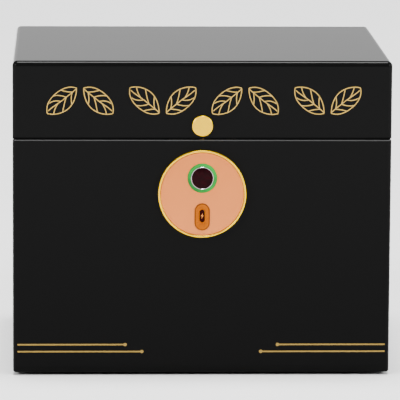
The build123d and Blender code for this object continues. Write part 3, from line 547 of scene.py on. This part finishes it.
def charging_sign(material):
    """A plain lightning flash on the dust plug."""
    low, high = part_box("port_plug")
    middle = Vector((0.0, low.y, (low.z + high.z) / 2))
    outline = [middle + Vector((x * sign_height, 0.0, z * sign_height)) for x, z in sign_outline]
    rise = Vector((0.0, -sign_thickness, 0.0))
    mesh = mesh_from("charging_sign", lambda shape: add_prism(shape, outline, rise))
    new_piece("charging_sign", mesh, material, "plug")


def dial_centre():
    low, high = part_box("hygrometer_rim")
    return Vector(((low.x + high.x) / 2, (low.y + high.y) / 2, low.z + dial_depth))


def dial_place(value, radius, centre):
    """A point on the dial for a value of its scale, and the direction outwards there."""
    turn = dial_half_sweep * (2.0 * value / dial_top - 1.0)
    out = Vector((sin(turn), -cos(turn), 0.0))
    return centre + out * radius, out


def dial_marks(material):
    centre = dial_centre()
    rise = Vector((0.0, 0.0, -dial_ink))

    def build(shape):
        for value in range(0, dial_top + 1, dial_mark_step):
            share = 1.0 if value % dial_long_step == 0 else dial_short_share
            place, out = dial_place(value, dial_radius, centre)
            across = Vector((-out.y, out.x, 0.0)) * dial_mark_width * share / 2
            inner = place - out * dial_mark_length * share
            outline = [place - across, place + across, inner + across, inner - across]
            add_prism(shape, outline, rise)

    new_piece("dial_marks", mesh_from("dial_marks", build), material, "lid")


def dial_numbers(material):
    centre = dial_centre()
    face_down = Matrix.Rotation(radians(180.0), 4, "X")
    for value in range(0, dial_top + 1, dial_number_step):
        place, _ = dial_place(value, dial_number_radius, centre)
        curve = bpy.data.curves.new(f"dial_{value}", "FONT")
        curve.body = str(value)
        curve.size = dial_number_height
        curve.extrude = dial_ink / 2
        curve.align_x = "CENTER"
        curve.align_y = "CENTER"
        text = add_object(f"text_{value}", curve)
        text.matrix_world = Matrix.Translation(place) @ face_down
        bpy.context.view_layer.update()
        shaped = text.evaluated_get(bpy.context.evaluated_depsgraph_get())
        mesh = bpy.data.meshes.new_from_object(shaped)
        mesh.transform(text.matrix_world)
        mesh.materials.clear()
        bpy.data.objects.remove(text)
        new_piece(f"dial_number_{value}", mesh, material, "lid")


def screw_heads(node, facing):
    """The middle of each screw head of a node. Facing is 1 for heads that look up and -1 for down."""
    screws = []
    for vertex in nodes[node].data.vertices:
        point = vertex.co
        for screw in screws:
            first = screw[0]
            if (first.xy - point.xy).length < screw_reach and abs(first.z - point.z) < screw_length:
                screw.append(point)
                break
        else:
            screws.append([point])
    middles = []
    for screw in screws:
        top = max(p.z * facing for p in screw) * facing
        x = (min(p.x for p in screw) + max(p.x for p in screw)) / 2
        y = (min(p.y for p in screw) + max(p.y for p in screw)) / 2
        middles.append(Vector((x, y, top)))
    return middles


# Painted shade: a thin dark cross laid on each screw head in place of the shade in its recess.
def screw_recesses(node, body, facing, material):
    half = recess_shade_length / 2
    thin = recess_shade_width / 2
    rise = Vector((0.0, 0.0, facing * recess_shade_proud))

    def build(shape):
        for middle in screw_heads(node, facing):
            for x, y in ((half, thin), (thin, half)):
                outline = [middle + Vector((right * x, back * y, 0.0)) for right, back in corners]
                add_prism(shape, outline, rise)

    new_piece(node + "_recess_shades", mesh_from(node, build), material, body)


# Studio
def direction(azimuth, elevation):
    """From the object towards a place round it. Azimuth 0 is in front, and it grows to the right."""
    return Vector((sin(azimuth) * cos(elevation), -cos(azimuth) * cos(elevation), sin(elevation)))


def make_floor():
    material = new_material("pale_floor", roughness=0.8)
    patches = noise(material, scale=3.0, detail=3.0)
    dark = tuple(part * floor_dark_share for part in floor_color)
    shade(material, "Base Color", ramp(material, patches, [(0.3, dark), (0.7, floor_color)]))
    shader_of(material).inputs["Specular IOR Level"].default_value = floor_gloss
    mesh = bpy.data.meshes.new("floor")
    places = [(right * floor_half, back * floor_half, 0.0) for right, back in corners]
    mesh.from_pydata(places, [], [range(len(places))])
    mesh.materials.append(material)
    add_object("floor", mesh)


def make_world():
    """A pale horizon behind and a dim sky, so that the flat lid mirrors light and its round edge dark."""
    world = bpy.data.worlds.new("studio")
    world.use_nodes = True
    way = axes(world, "Generated")
    low = progress(world, way["Z"], horizon_top + horizon_fade, horizon_top)
    behind = progress(world, way["Y"], -horizon_turn, horizon_turn)
    strength = level(world, maths(world, "MULTIPLY", low, behind), sky_light, horizon_light)
    background = world.node_tree.nodes["Background"].inputs
    background["Color"].default_value = (*white, 1.0)
    join(world, strength, background["Strength"])
    bpy.context.scene.world = world


def make_top_light():
    light = bpy.data.lights.new("top_light", "SUN")
    light.energy = top_light_strength
    light.angle = top_light_spread
    add_object("top_light", light).matrix_world = Matrix.Rotation(-top_light_tilt, 4, "X")


def make_side_light(name, azimuth):
    light = bpy.data.lights.new(name, "AREA")
    light.size = side_light_size
    light.energy = side_light_power
    aim = Vector((0.0, 0.0, aim_z))
    away = direction(azimuth, side_light_elevation) * side_light_distance
    turned = (-away).to_track_quat("-Z", "Y").to_matrix().to_4x4()
    add_object(name, light).matrix_world = Matrix.Translation(aim + away) @ turned


def make_camera():
    forward = -direction(camera_azimuth, camera_elevation)
    level_right = forward.cross(Vector((0.0, 0.0, 1.0))).normalized()
    level_up = level_right.cross(forward)
    right = level_right * cos(camera_roll) + level_up * sin(camera_roll)
    up = level_up * cos(camera_roll) - level_right * sin(camera_roll)
    aim = Vector((aim_x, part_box("front_wall")[0].y, aim_z))
    placed = Matrix((right, up, -forward)).transposed().to_4x4()
    placed.translation = aim - forward * camera_distance
    lens = bpy.data.cameras.new("camera")
    lens.sensor_width = sensor_width
    lens.lens = focal_pixels / picture_pixels * sensor_width
    lens.clip_end = camera_reach
    camera = add_object("camera", lens)
    camera.matrix_world = placed
    bpy.context.scene.camera = camera


materials = all_materials()
dress_nodes(materials)
charging_sign(materials["sign_orange"])
dial_marks(materials["needle"])
dial_numbers(materials["needle"])
screw_recesses("chest_screws", "chest", 1.0, materials["case_metal"])
screw_recesses("lid_screws", "lid", -1.0, materials["case_metal"])
make_floor()
make_world()
make_top_light()
make_side_light("left_light", -side_light_azimuth)
make_side_light("right_light", side_light_azimuth)
make_camera()
